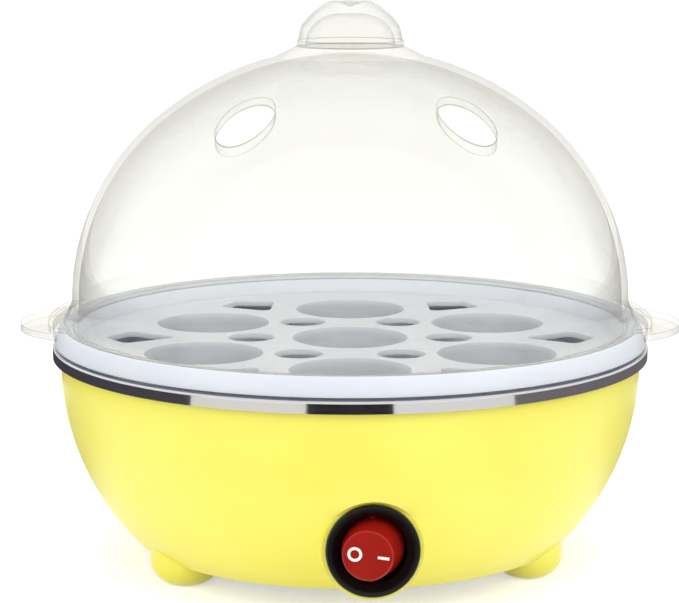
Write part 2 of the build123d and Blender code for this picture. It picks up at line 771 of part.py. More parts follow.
# Terminal block: two poles, each with a brass insert and two clamp screws
pole_places = [(block_x - pole_spacing / 2, block_y), (block_x + pole_spacing / 2, block_y)]
clamp_places = [(x, y + side * clamp_screw_spacing / 2) for x, y in pole_places for side in (1, -1)]
block_screw_length = block_top_height - floor_height + block_boss_depth / 2 - screw_head_height
with BuildPart() as terminal_block:
    with BuildSketch(level(floor_top_height)):
        with Locations((block_x, block_y)):
            Rectangle(block_length, block_width)
    extrude(amount=block_height)
    with BuildSketch(back_plane(block_y, pole_centre_height)):
        with Locations((-pole_places[0][0], 0), (-pole_places[1][0], 0)):
            Circle(insert_radius + fit_clearance)
    extrude(amount=block_width, both=True, mode=Mode.SUBTRACT)
    with BuildSketch(level(block_top_height)):
        with Locations(*clamp_places):
            Circle(clamp_screw_radius + fit_clearance)
        with Locations((block_x, block_y)):
            Circle(screw_hole_radius)
    extrude(amount=pole_height - block_height, mode=Mode.SUBTRACT)
    with BuildSketch(level(floor_top_height)):
        with Locations((block_x, block_y)):
            Circle(screw_hole_radius)
    extrude(amount=block_height, mode=Mode.SUBTRACT)
terminal_block.part.label = "terminal_block"
export_step(terminal_block.part, "parts/terminal_block.step")

with BuildPart() as terminal_inserts:
    with BuildSketch(back_plane(block_y, pole_centre_height)):
        with Locations((-pole_places[0][0], 0), (-pole_places[1][0], 0)):
            Circle(insert_radius)
            Circle(insert_bore_radius, mode=Mode.SUBTRACT)
    extrude(amount=insert_length / 2, both=True)
    with BuildSketch(level(pole_centre_height)):
        with Locations(*clamp_places):
            Circle(clamp_screw_radius + fit_clearance)
    extrude(amount=block_height, mode=Mode.SUBTRACT)
terminal_inserts.part.label = "terminal_inserts"
export_step(terminal_inserts.part, "parts/terminal_inserts.step")

with BuildPart() as clamp_screws:
    with BuildSketch(level(pole_centre_height + insert_bore_radius)):
        with Locations(*clamp_places):
            Circle(clamp_screw_radius)
    extrude(amount=block_height - pole_height - insert_bore_radius)
    with BuildSketch(level(block_top_height)):
        with Locations(*clamp_places):
            Rectangle(2 * clamp_screw_radius, clamp_screw_radius / 2)
    extrude(amount=-clamp_screw_radius, mode=Mode.SUBTRACT)
clamp_screws.part.label = "clamp_screws"
export_step(clamp_screws.part, "parts/clamp_screws.step")

with BuildPart() as block_screw:
    with BuildSketch(level(block_top_height)):
        with Locations((block_x, block_y)):
            Circle(clamp_screw_spacing / 2 - fit_clearance)
    extrude(amount=screw_head_height)
    with BuildSketch(level(block_top_height)):
        with Locations((block_x, block_y)):
            Circle(screw_radius)
    extrude(amount=-block_screw_length)
    with BuildSketch(level(block_top_height + screw_head_height)):
        with Locations((block_x, block_y)):
            Rectangle(2 * screw_radius, screw_slot_width)
    extrude(amount=-screw_slot_width, mode=Mode.SUBTRACT)
block_screw.part.label = "block_screw"
export_step(block_screw.part, "parts/block_screw.step")


def spade_receptacle(plane):
    """Push-on receptacle on a tab: the plane is at the tab's tip, z towards the lead, x across the tab."""
    with BuildPart() as spade:
        with BuildSketch(plane.offset(-spade_grip)):
            Rectangle(tab_width + 2 * spade_wall, tab_thickness + 2 * spade_wall)
        extrude(amount=spade_grip + spade_neck)
        with BuildSketch(plane.offset(-spade_grip)):
            Rectangle(tab_width + 2 * fit_clearance, tab_thickness + 2 * fit_clearance)
        extrude(amount=spade_grip + fit_clearance, mode=Mode.SUBTRACT)
        with BuildSketch(plane.offset(spade_neck)):
            Circle(spade_barrel_radius)
        extrude(amount=spade_barrel_length)
        with BuildSketch(plane.offset(spade_neck + spade_barrel_length)):
            Circle(lead_radius + fit_clearance)
        extrude(amount=-spade_barrel_depth, mode=Mode.SUBTRACT)
    return spade.part


# Spade receptacles on the tabs of the switch and the thermostat
spade_planes = [
    Plane(origin=(0, -contact_tab_tip, switch_height), x_dir=(0, 0, 1), z_dir=(0, 1, 0)),
    Plane(origin=(contact_x, -contact_tab_tip, switch_height), x_dir=(0, 0, 1), z_dir=(0, 1, 0)),
    Plane(
        origin=(thermostat_tab_reach, thermostat_offset, thermostat_lead_height),
        x_dir=(0, 1, 0),
        z_dir=(1, 0, 0),
    ),
    Plane(
        origin=(-thermostat_tab_reach, thermostat_offset, thermostat_lead_height),
        x_dir=(0, 1, 0),
        z_dir=(-1, 0, 0),
    ),
]
spade_solids = [spade_receptacle(plane) for plane in spade_planes]
with BuildPart() as spade_receptacles:
    add(spade_solids)
spade_receptacles.part.label = "spade_receptacles"
export_step(spade_receptacles.part, "parts/spade_receptacles.step")


def bend_radii(points):
    """The largest radius that fits at each bend of a lead."""
    corner_share = 0.45         # of the shorter run, on each side of a bend
    radii = []
    for before, here, after in zip(points, points[1:], points[2:]):
        run_in = Vector(here) - Vector(before)
        run_out = Vector(after) - Vector(here)
        turn = radians(run_in.get_angle(run_out))
        radii.append(corner_share * min(run_in.length, run_out.length) / tan(turn / 2))
    return radii


def lead(points):
    """Insulated lead along straight runs joined by tangent arcs."""
    with BuildPart() as wire:
        with BuildLine() as route:
            FilletPolyline(*points, radius=bend_radii(points))
        with BuildSketch(Plane(origin=route.wire() @ 0, z_dir=route.wire() % 0)):
            Circle(lead_radius)
        sweep(path=route.wire())
    print("lead bends", [round(radius, 1) for radius in bend_radii(points)])
    return wire.part


# Leads between the terminal block, the switch, the thermostat, the fuse and the heater
spade_lead_start = spade_neck + spade_barrel_length - spade_barrel_depth + fit_clearance
switch_lead_end = -contact_tab_tip + spade_lead_start
thermostat_lead_end = thermostat_tab_reach + spade_lead_start
block_lead_end = block_y - insert_length / 4
live_lead_solid = lead(
    [
        (contact_x, switch_lead_end, switch_height),
        (contact_x, switch_lead_end + switch_lead_run, switch_height),
        *live_bends,
        (pole_places[0][0], block_y - block_lead_run, pole_centre_height),
        (pole_places[0][0], block_lead_end, pole_centre_height),
    ]
)
with BuildPart() as live_lead:
    add(live_lead_solid)
live_lead.part.label = "live_lead"
export_step(live_lead.part, "parts/live_lead.step")

switched_lead_solid = lead(
    [
        (0, switch_lead_end, switch_height),
        (0, switch_lead_end + switch_lead_run, switch_height),
        *switched_bends,
        (thermostat_lead_end + thermostat_lead_run, thermostat_offset, thermostat_lead_height),
        (thermostat_lead_end, thermostat_offset, thermostat_lead_height),
    ]
)
with BuildPart() as switched_lead:
    add(switched_lead_solid)
switched_lead.part.label = "switched_lead"
export_step(switched_lead.part, "parts/switched_lead.step")

fuse_feed_bend = -thermostat_lead_end - fuse_lead_run
fuse_feed_solid = lead(
    [
        (-thermostat_lead_end, thermostat_offset, thermostat_lead_height),
        (fuse_feed_bend, thermostat_offset, thermostat_lead_height),
        (fuse_feed_bend, -fuse_offset, fuse_height),
        (-fuse_lead_reach, -fuse_offset, fuse_height),
    ]
)
with BuildPart() as fuse_feed_lead:
    add(fuse_feed_solid)
fuse_feed_lead.part.label = "fuse_feed_lead"
export_step(fuse_feed_lead.part, "parts/fuse_feed_lead.step")

heater_feed_solid = lead(
    [
        (fuse_lead_reach, -fuse_offset, fuse_height),
        (heater_lead_reach, -fuse_offset, fuse_height),
        (heater_lead_reach, -fuse_offset, heater_tab_height),
    ]
)
with BuildPart() as heater_feed_lead:
    add(heater_feed_solid)
heater_feed_lead.part.label = "heater_feed_lead"
export_step(heater_feed_lead.part, "parts/heater_feed_lead.step")

neutral_lead_solid = lead(
    [
        (-heater_lead_reach, -fuse_offset, heater_tab_height),
        (-heater_lead_reach, -fuse_offset, heater_tab_height - heater_lead_drop),
        *neutral_bends,
        (pole_places[1][0], block_y - block_lead_run, pole_centre_height),
        (pole_places[1][0], block_lead_end, pole_centre_height),
    ]
)
with BuildPart() as neutral_lead:
    add(neutral_lead_solid)
neutral_lead.part.label = "neutral_lead"
export_step(neutral_lead.part, "parts/neutral_lead.step")

# Cord gland: snap-in bush in the back wall
gland_section = Plane(origin=(0, gland_face, gland_height), x_dir=(1, 0, 0), z_dir=(0, 0, 1))
gland_lip_start = -gland_panel - fit_clearance
with BuildPart() as cord_gland:
    with BuildSketch(gland_section):
        with BuildLine():
            Polyline(
                (gland_bore_radius, gland_flange),
                (gland_flange_radius, gland_flange),
                (gland_flange_radius, 0),
                (gland_radius - fit_clearance, 0),
                (gland_radius - fit_clearance, gland_lip_start),
                (gland_radius + gland_lip, gland_lip_start),
                (gland_radius - gland_lip, gland_lip_start - gland_tail),
                (gland_bore_radius, gland_lip_start - gland_tail),
                close=True,
            )
        make_face()
    revolve(axis=Axis((0, gland_face, gland_height), (0, 1, 0)))
    fillet(cord_gland.edges().group_by(Axis.Y)[-1], gland_lip)
cord_gland.part.label = "cord_gland"
export_step(cord_gland.part, "parts/cord_gland.step")


def switch_section(angle):
    """Plane through the switch's axis: x runs outward from it at the angle, y runs out to the front."""
    turn = radians(angle)
    return Plane(
        origin=(0, -switch_face, switch_height),
        x_dir=(cos(turn), 0, sin(turn)),
        z_dir=(sin(turn), 0, -cos(turn)),
    )


# Switch body: bezel in front of the panel, snap wings behind it
switch_axis = Axis((0, -switch_face, switch_height), (0, -1, 0))
pivot_point = (0, -pivot_distance, switch_height)
with BuildPart() as switch_body:
    with BuildSketch(switch_section(0)):
        with BuildLine():
            Polyline(
                (0, -switch_body_depth),
                (switch_body_radius, -switch_body_depth),
                (switch_body_radius, 0),
                (bezel_radius, 0),
                (bezel_radius, bezel_thickness - bezel_round),
            )
            CenterArc((bezel_radius - bezel_round, bezel_thickness - bezel_round), bezel_round, 0, 90)
            Polyline(
                (bezel_radius - bezel_round, bezel_thickness),
                (switch_bore_radius + bezel_chamfer, bezel_thickness),
                (switch_bore_radius, bezel_thickness - bezel_chamfer),
                (switch_bore_radius, switch_base - switch_body_depth),
                (0, switch_base - switch_body_depth),
                (0, -switch_body_depth),
            )
        make_face()
    revolve(axis=switch_axis)
    for side in (0, 180):
        with BuildSketch(switch_section(side - wing_angle / 2)):
            Polygon(
                (switch_body_radius - wing_reach, -switch_panel - fit_clearance),
                (switch_body_radius + wing_reach, -switch_panel - fit_clearance),
                (switch_body_radius, -switch_panel - wing_length),
                (switch_body_radius - wing_reach, -switch_panel - wing_length),
                align=None,
            )
        revolve(axis=switch_axis, revolution_arc=wing_angle)
    with BuildSketch(Plane(origin=pivot_point, x_dir=(1, 0, 0), z_dir=(0, 0, 1))):
        Circle(pivot_pin_radius + fit_clearance)
    extrude(amount=switch_body_radius, both=True, mode=Mode.SUBTRACT)
    with BuildSketch(front_plane(switch_rear, switch_height)):
        with Locations((0, 0), (contact_x, 0)):
            Rectangle(tab_thickness + 2 * fit_clearance, tab_width + 2 * fit_clearance)
    extrude(amount=switch_base, mode=Mode.SUBTRACT)
switch_body.part.label = "switch_body"
export_step(switch_body.part, "parts/switch_body.step")

# Rocker, tilted to its off side: O pressed in, I standing out
tilt = radians(rocker_tilt)
rocker_out = (-sin(tilt), -cos(tilt), 0)
rocker_across = (cos(tilt), -sin(tilt), 0)
rocker_section = Plane(origin=pivot_point, x_dir=rocker_across, z_dir=(0, 0, -1))
rocker_frame = Plane(origin=pivot_point, x_dir=rocker_across, z_dir=rocker_out)
rocker_axis = Axis(pivot_point, rocker_out)
rocker_ceiling = rocker_face_height - rocker_wall
cavity_top_radius = rocker_face_radius - rocker_wall
with BuildPart() as switch_rocker:
    with BuildSketch(rocker_section):
        with BuildLine():
            Polyline(
                (0, rocker_face_height),
                (rocker_face_radius, rocker_face_height),
                (rocker_radius, -rocker_skirt),
                (rocker_radius - rocker_wall, -rocker_skirt),
                (cavity_top_radius, rocker_ceiling),
                (guide_radius, rocker_ceiling),
                (guide_radius, -guide_drop),
                (guide_bore_radius, -guide_drop),
                (guide_bore_radius, rocker_ceiling),
                (0, rocker_ceiling),
                close=True,
            )
        make_face()
    revolve(axis=rocker_axis)
    rocker_face_edge = switch_rocker.edges().filter_by(GeomType.CIRCLE).sort_by(rocker_axis)[-1]
    fillet(rocker_face_edge, rocker_face_round)
    for side in (1, -1):
        pin_root = switch_height + side * (rocker_radius - rocker_wall / 2)
        with BuildSketch(Plane(origin=(0, -pivot_distance, pin_root), x_dir=(1, 0, 0), z_dir=(0, 0, side))):
            Circle(pivot_pin_radius)
        extrude(amount=pivot_pin_end - rocker_radius + rocker_wall / 2)
switch_rocker.part.label = "switch_rocker"
export_step(switch_rocker.part, "parts/switch_rocker.step")

# Plunger that rides in the rocker and presses on the contact bridge
with BuildPart() as switch_plunger:
    with BuildSketch(rocker_section):
        with BuildLine():
            CenterArc((0, plunger_nose_radius - plunger_reach), plunger_nose_radius, -90, 90)
            Polyline(
                (plunger_nose_radius, plunger_nose_radius - plunger_reach),
                (plunger_nose_radius, plunger_head_low),
                (plunger_head_radius, plunger_head_low),
                (plunger_head_radius, plunger_head_high),
                (0, plunger_head_high),
                (0, -plunger_reach),
            )
        make_face()
    revolve(axis=rocker_axis)
switch_plunger.part.label = "switch_plunger"
export_step(switch_plunger.part, "parts/switch_plunger.step")

# Spring behind the plunger: one tube along biarcs of a quarter turn
spring_low = plunger_head_high + spring_wire_radius + spring_end_gap
spring_high = rocker_ceiling - spring_wire_radius - spring_end_gap
spring_rise = (spring_high - spring_low) / (2 * pi * spring_turns)


def spring_point(turn):
    """Point of the spring's middle line after this many radians."""
    return rocker_frame.from_local_coords(
        Vector(spring_radius * cos(turn), spring_radius * sin(turn), spring_low + spring_rise * turn)
    )


def spring_direction(turn):
    """Direction of the spring's middle line there."""
    ahead = rocker_frame.from_local_coords(
        Vector(-spring_radius * sin(turn), spring_radius * cos(turn), spring_rise)
    )
    return (ahead - rocker_frame.origin).normalized()


with BuildPart() as switch_spring:
    with BuildLine() as coil:
        for quarter in range(4 * spring_turns):
            start = spring_point(quarter * pi / 2)
            end = spring_point((quarter + 1) * pi / 2)
            leaving = spring_direction(quarter * pi / 2)
            arriving = spring_direction((quarter + 1) * pi / 2)
            chord = end - start
            bend = 2 * (1 - leaving.dot(arriving))
            along = chord.dot(leaving + arriving)
            reach = (sqrt(along ** 2 + bend * chord.dot(chord)) - along) / bend
            middle = (start + leaving * reach + end - arriving * reach) / 2
            passing = (end - arriving * reach - start - leaving * reach).normalized()
            TangentArc(start, middle, tangent=leaving)
            TangentArc(middle, end, tangent=passing)
    with BuildSketch(Plane(origin=coil.wire() @ 0, z_dir=coil.wire() % 0)):
        Circle(spring_wire_radius)
    sweep(path=coil.wire())
switch_spring.part.label = "switch_spring"
export_step(switch_spring.part, "parts/switch_spring.step")
steps_per_turn = 24
coil_turns = [2 * pi * step / steps_per_turn for step in range(spring_turns * steps_per_turn + 1)]
coil_points = [spring_point(turn) for turn in coil_turns]
coil_gaps = [
    (second - first).length - 2 * spring_wire_radius
    for index, first in enumerate(coil_points)
    for second in coil_points[index + steps_per_turn // 2:]
]
print("spring's least gap to itself", round(min(coil_gaps), 3))

# Switch terminals: the middle one carries the bridge, the side one makes contact
with BuildPart() as switch_terminals:
    with BuildSketch(front_plane(contact_tab_tip, switch_height)):
        with Locations((0, 0), (contact_x, 0)):
            Rectangle(tab_thickness, tab_width)
    extrude(amount=switch_floor - contact_tab_tip)
    with BuildSketch(front_plane(switch_floor, switch_height)):
        Rectangle(contact_head, tab_width)
    extrude(amount=bridge_pivot_height)
    with BuildSketch(front_plane(switch_floor, switch_height)):
        with Locations((contact_x, 0)):
            Rectangle(contact_head, tab_width)
    extrude(amount=side_contact_height)
    with BuildSketch(Plane(origin=contact_pivot, x_dir=(1, 0, 0), z_dir=(0, 0, 1))):
        Circle(contact_ridge_radius + fit_clearance)
    extrude(amount=tab_width, both=True, mode=Mode.SUBTRACT)
switch_terminals.part.label = "switch_terminals"
export_step(switch_terminals.part, "parts/switch_terminals.step")

# Contact bridge: see-saw on the middle terminal, tipped away from the side contact
contact_frame = Plane(
    origin=contact_pivot,
    x_dir=(cos(contact_turn), sin(contact_turn), 0),
    z_dir=(0, 0, 1),
)
with BuildPart() as contact_bridge:
    with BuildSketch(contact_frame):
        Circle(contact_ridge_radius)
        with Locations((0, -contact_lift - contact_sheet / 2)):
            Rectangle(2 * contact_half_length, contact_sheet)
    extrude(amount=contact_width / 2, both=True)
contact_bridge.part.label = "contact_bridge"
export_step(contact_bridge.part, "parts/contact_bridge.step")

# Egg tray
tray_plate_radius = pan_wall_radius - seat_clearance
egg_start_angle = loose_turn + 180 / egg_count
egg_circle_radius = egg_circle_share * tray_plate_radius
egg_hole_radius = egg_hole_share * tray_plate_radius
steam_circle_radius = steam_circle_share * tray_plate_radius
steam_hole_radius = steam_hole_share * tray_plate_radius
slot_inner_radius = slot_inner_share * tray_plate_radius
slot_length = slot_outer_share * tray_plate_radius - slot_inner_radius
slot_width = slot_width_share * tray_plate_radius
with BuildPart() as egg_tray:
    with BuildSketch(Plane.XZ):
        with BuildLine():
            Polyline(
                (0, tray_plate_under_height),
                (tray_plate_radius, tray_plate_under_height),
                (tray_plate_radius, pan_flange_height),
                (tray_rim_foot_radius - tray_lip, pan_flange_height),
                (tray_rim_foot_radius - tray_lip, tray_lip_height),
                (tray_rim_foot_radius, tray_lip_height),
                (tray_rim_top_radius, tray_top_height),
                (tray_rim_top_radius - tray_rim_land, tray_top_height),
                (tray_plate_radius - tray_wall, tray_plate_top_height),
                (0, tray_plate_top_height),
                close=True,
            )
        make_face()
    revolve(axis=Axis.Z)
    with BuildSketch(level(tray_plate_under_height)):
        Circle(egg_hole_radius + egg_collar_wall)
        with PolarLocations(radius=egg_circle_radius, count=egg_count, start_angle=egg_start_angle):
            Circle(egg_hole_radius + egg_collar_wall)
    extrude(amount=-egg_collar_depth)
    with BuildSketch(level(tray_plate_top_height)) as tray_holes:
        Circle(egg_hole_radius)
        with PolarLocations(radius=egg_circle_radius, count=egg_count, start_angle=egg_start_angle):
            Circle(egg_hole_radius)
        with PolarLocations(radius=steam_circle_radius, count=egg_count, start_angle=loose_turn):
            Circle(steam_hole_radius)
    extrude(amount=-tray_plate - egg_collar_depth, mode=Mode.SUBTRACT)
    with BuildSketch(level(tray_plate_top_height)) as tray_slots:
        with PolarLocations(radius=slot_inner_radius, count=egg_count, start_angle=loose_turn):
            Polygon(
                (0, 0),
                (slot_widest_share * slot_length, slot_width / 2),
                (slot_length, 0),
                (slot_widest_share * slot_length, -slot_width / 2),
                align=None,
            )
        fillet(tray_slots.vertices(), slot_round)
    extrude(amount=-tray_plate, mode=Mode.SUBTRACT)
egg_tray.part.label = "egg_tray"
export_step(egg_tray.part, "parts/egg_tray.step")

# Lid: shoulder arc and crown arc, tangent to each other. A low dome has its tighter arc at the shoulder
dome_rise = lid_apex_height - lid_wall_foot_height
dome_less = min(dome_rise, lid_radius)
dome_more = max(dome_rise, lid_radius)
tight_radius = lid_arc_share * dome_less
wide_excess = (dome_more - tight_radius) ** 2 + dome_less ** 2 - tight_radius ** 2
wide_radius = wide_excess / (2 * (dome_less - tight_radius))
shoulder_radius = tight_radius if dome_rise < lid_radius else wide_radius
crown_radius = wide_radius if dome_rise < lid_radius else tight_radius
shoulder_middle = lid_radius - shoulder_radius
crown_middle_height = lid_apex_height - crown_radius
shoulder_angle = degrees(atan2(abs(crown_middle_height - lid_wall_foot_height), abs(shoulder_middle)))
pad_angle = degrees(acos(pad_foot_radius / crown_radius))
pad_foot_height = crown_middle_height + sqrt(crown_radius ** 2 - pad_foot_radius ** 2)
lip_radius = tray_rim_top_radius - tray_rim_land - lid_lip_depth - seat_clearance
ear_middle_radius = lid_foot_radius + ear_overhang - ear_radius
ear_wall_radius = tray_rim_foot_radius + seat_clearance
ear_under_height = tray_top_height - ear_drop
vent_circle_radius = vent_circle_share * lid_radius
with BuildPart() as lid:
    with BuildSketch(Plane.XZ):
        with BuildLine():
            Polyline(
                (0, lid_apex_height - lid_wall),
                (0, pad_top_height),
                (pad_radius, pad_top_height),
                (pad_foot_radius, pad_foot_height),
            )
            CenterArc((0, crown_middle_height), crown_radius, shoulder_angle, pad_angle - shoulder_angle)
            CenterArc((shoulder_middle, lid_wall_foot_height), shoulder_radius, 0, shoulder_angle)
            Polyline(
                (lid_radius, lid_wall_foot_height),
                (lid_foot_radius, tray_top_height),
                (lip_radius, tray_top_height),
                (lip_radius, tray_top_height - lid_lip_depth),
                (lip_radius - lid_lip_wall, tray_top_height - lid_lip_depth),
                (lip_radius - lid_lip_wall, tray_top_height),
                (lid_radius - lid_wall, lid_wall_foot_height),
            )
            CenterArc((shoulder_middle, lid_wall_foot_height), shoulder_radius - lid_wall, 0, shoulder_angle)
            CenterArc((0, crown_middle_height), crown_radius - lid_wall, shoulder_angle, 90 - shoulder_angle)
        make_face()
    revolve(axis=Axis.Z)
    # Ears beside the tray's rim, each hung from the lid's foot by a wall and a bridge over the rim
    with BuildSketch(level(ear_under_height)):
        with PolarLocations(radius=ear_middle_radius, count=2, start_angle=loose_turn):
            Circle(ear_radius)
        Circle(ear_wall_radius, mode=Mode.SUBTRACT)
    extrude(amount=ear_thickness)
    with BuildSketch(level(ear_under_height)):
        with PolarLocations(radius=ear_middle_radius, count=2, start_angle=loose_turn):
            Circle(ear_radius)
        Circle(ear_wall_radius + ear_wall, mode=Mode.INTERSECT)
        Circle(ear_wall_radius, mode=Mode.SUBTRACT)
    extrude(amount=ear_drop + ear_wall)
    with BuildSketch(level(tray_top_height)):
        with PolarLocations(radius=ear_middle_radius, count=2, start_angle=loose_turn):
            Circle(ear_radius)
        Circle(ear_wall_radius + ear_wall, mode=Mode.INTERSECT)
        Circle(lip_radius, mode=Mode.SUBTRACT)
    extrude(amount=ear_wall)
    with BuildSketch(level(pad_top_height)):
        with PolarLocations(
            radius=vent_circle_radius,
            count=vent_count,
            start_angle=loose_turn + vent_turn - 90 - vent_spread / 2,
            angular_range=vent_spread,
            endpoint=True,
        ):
            Circle(vent_radius)
    extrude(amount=lid_wall_foot_height - pad_top_height, mode=Mode.SUBTRACT)
lid.part.label = "lid"
export_step(lid.part, "parts/lid.step")

# Knob: hollow clear cap on the lid's pad, with a gate dimple in its top
with BuildPart() as lid_knob:
    with BuildSketch(Plane.XZ):
        with BuildLine():
            Polyline(
                (knob_base_radius - knob_wall, pad_top_height),
                (knob_flange_radius, pad_top_height),
                (knob_flange_radius, pad_top_height + knob_flange),
                (knob_base_radius, pad_top_height + knob_flange),
                (knob_shoulder_radius, pad_top_height + knob_shoulder_height),
            )
            ThreePointArc(
                (knob_shoulder_radius, pad_top_height + knob_shoulder_height),
                (knob_bulge_radius, pad_top_height + knob_bulge_height),
                (knob_top_radius, pad_top_height + knob_height),
            )
            Polyline(
                (knob_top_radius, pad_top_height + knob_height),
                (dimple_radius, pad_top_height + knob_height),
                (0, pad_top_height + knob_height - dimple_depth),
                (0, pad_top_height + knob_height - dimple_depth - knob_wall),
                (knob_top_radius - knob_wall, pad_top_height + knob_height - dimple_depth - knob_wall),
            )
            ThreePointArc(
                (knob_top_radius - knob_wall, pad_top_height + knob_height - dimple_depth - knob_wall),
                (knob_bulge_radius - knob_wall, pad_top_height + knob_bulge_height - knob_wall),
                (knob_shoulder_radius - knob_wall, pad_top_height + knob_shoulder_height - knob_wall),
            )
            Line(
                (knob_shoulder_radius - knob_wall, pad_top_height + knob_shoulder_height - knob_wall),
                (knob_base_radius - knob_wall, pad_top_height),
            )
        make_face()
    revolve(axis=Axis.Z)
lid_knob.part.label = "lid_knob"
export_step(lid_knob.part, "parts/lid_knob.step")

print("overall height", round(pad_top_height + knob_height, 2))
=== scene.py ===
"""Looks of the egg cooker: materials for its pieces, the switch's marks, and a plain white studio."""
import json
import math

import bmesh
import bpy
from mathutils import Matrix, Vector


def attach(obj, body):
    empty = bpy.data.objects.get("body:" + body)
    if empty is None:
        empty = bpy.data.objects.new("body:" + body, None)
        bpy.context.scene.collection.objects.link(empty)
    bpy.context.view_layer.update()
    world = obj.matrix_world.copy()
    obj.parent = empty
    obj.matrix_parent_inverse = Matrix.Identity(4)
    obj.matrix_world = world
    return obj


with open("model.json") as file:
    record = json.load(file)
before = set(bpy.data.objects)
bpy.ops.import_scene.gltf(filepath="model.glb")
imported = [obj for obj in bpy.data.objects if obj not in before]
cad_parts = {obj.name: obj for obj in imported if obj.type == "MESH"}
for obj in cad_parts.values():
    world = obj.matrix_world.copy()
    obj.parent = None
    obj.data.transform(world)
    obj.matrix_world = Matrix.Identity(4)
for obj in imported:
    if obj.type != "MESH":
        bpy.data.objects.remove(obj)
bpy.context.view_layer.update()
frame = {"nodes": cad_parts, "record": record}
MM = 0.001
WHITE = (1, 1, 1, 1)


def linear(code):
    """sRGB hex to a linear colour."""
    channels = [int(code[start:start + 2], 16) / 255 for start in (1, 3, 5)]
    return [c / 12.92 if c <= 0.04045 else ((c + 0.055) / 1.055) ** 2.4 for c in channels] + [1.0]


def add(tree, kind, settings=None, links=None):
    """Adds a node, sets its properties and input sockets, and links other nodes' outputs into it."""
    node = tree.nodes.new(kind)
    for name, value in (settings or {}).items():
        if isinstance(name, int) or name in node.inputs:
            node.inputs[name].default_value = value
        else:
            setattr(node, name, value)
    for name, source in (links or {}).items():
        tree.links.new(source, node.inputs[name])
    return node


def show(tree, surface):
    """Makes a shader's output the material's surface."""
    tree.links.new(surface, tree.nodes["Material Output"].inputs["Surface"])


def finish_of(name, settings):
    """A new material with its Principled shader set: returns the material, its tree and the shader."""
    made = bpy.data.materials.new(name)
    made.use_nodes = True
    tree = made.node_tree
    shader = tree.nodes["Principled BSDF"]
    for socket, value in settings.items():
        shader.inputs[socket].default_value = value
    return made, tree, shader


def grain(tree, shader, size, height, stretch=(1, 1, 1)):
    """Bump of a fine noise with this grain size and height in metres. Returns the noise's coordinates."""
    place = add(tree, "ShaderNodeTexCoord")
    spread = add(tree, "ShaderNodeMapping", {"Scale": stretch}, {"Vector": place.outputs["Object"]})
    noise = add(tree, "ShaderNodeTexNoise", {"Scale": 1 / size, "Detail": 3.0}, {"Vector": spread.outputs["Vector"]})
    bump = add(tree, "ShaderNodeBump", {"Distance": height}, {"Height": noise.outputs["Fac"]})
    tree.links.new(bump.outputs["Normal"], shader.inputs["Normal"])
    return spread


PATCH_LOW = 0.3
PATCH_HIGH = 0.7


def mottle(tree, source, socket, patch, low, high):
    """Slow change of a shader's colour or number between two values, over patches of this size in metres."""
    noise = add(tree, "ShaderNodeTexNoise", {"Scale": 1 / patch, "Detail": 2.0}, {"Vector": source.outputs["Vector"]})
    ramp = add(tree, "ShaderNodeValToRGB", links={"Fac": noise.outputs["Fac"]})
    ramp.color_ramp.elements[0].position = PATCH_LOW
    ramp.color_ramp.elements[1].position = PATCH_HIGH
    ramp.color_ramp.elements[0].color = low
    ramp.color_ramp.elements[1].color = high
    tree.links.new(ramp.outputs["Color"], socket)


def grey(level):
    """A number as a colour, for a mottled roughness."""
    return [level, level, level, 1.0]


def grained(name, settings, size, height, patch, low, high):
    """A material with a fine grain, whose colour drifts between two codes over patches. Sizes are in metres."""
    made, tree, shader = finish_of(name, settings)
    source = grain(tree, shader, size, height)
    mottle(tree, source, shader.inputs["Base Color"], patch, linear(low), linear(high))
    return made


# Clear styrene: injection moulded and polished, clear with a faint warm cast, greyer where it is seen on edge, with a
# thin grey line of painted shade along its moulded edges. The wall is thin, so most of the light goes straight
# through and the rest is bent as in a thick piece; lamps shine through it. The painted shade lies where rounding the
# edges off would turn the surface, and it starts and is full at two cosines of that turn
ON_EDGE_START = 0.55
EDGE_SHADE_WIDTH = 0.55 * MM
EDGE_SHADE_START = 0.985
EDGE_SHADE_FULL = 0.9
BENT_START = 0.4
BENT_LEAST = 0.05
BENT_MOST = 0.4
# A Mix node's sockets for colours, which share their names with its other sockets
MIX_SHARE = 0
MIX_FIRST = 6
MIX_SECOND = 7
MIX_RESULT = 2
clear_styrene, tree, shader = finish_of("clear_styrene", {
    "Base Color": linear("#FFFFFE"), "Transmission Weight": 1.0, "IOR": 1.57, "Roughness": 0.03,
})
source = grain(tree, shader, 30 * MM, 0.02 * MM)
mottle(tree, source, shader.inputs["Roughness"], 22 * MM, grey(0.02), grey(0.05))
facing = add(tree, "ShaderNodeLayerWeight", {"Blend": 0.5})
cast = add(tree, "ShaderNodeValToRGB", links={"Fac": facing.outputs["Facing"]})
cast.color_ramp.elements[0].position = ON_EDGE_START
cast.color_ramp.elements[0].color = linear("#FBFBF9")
cast.color_ramp.elements[1].color = linear("#E5E3DF")
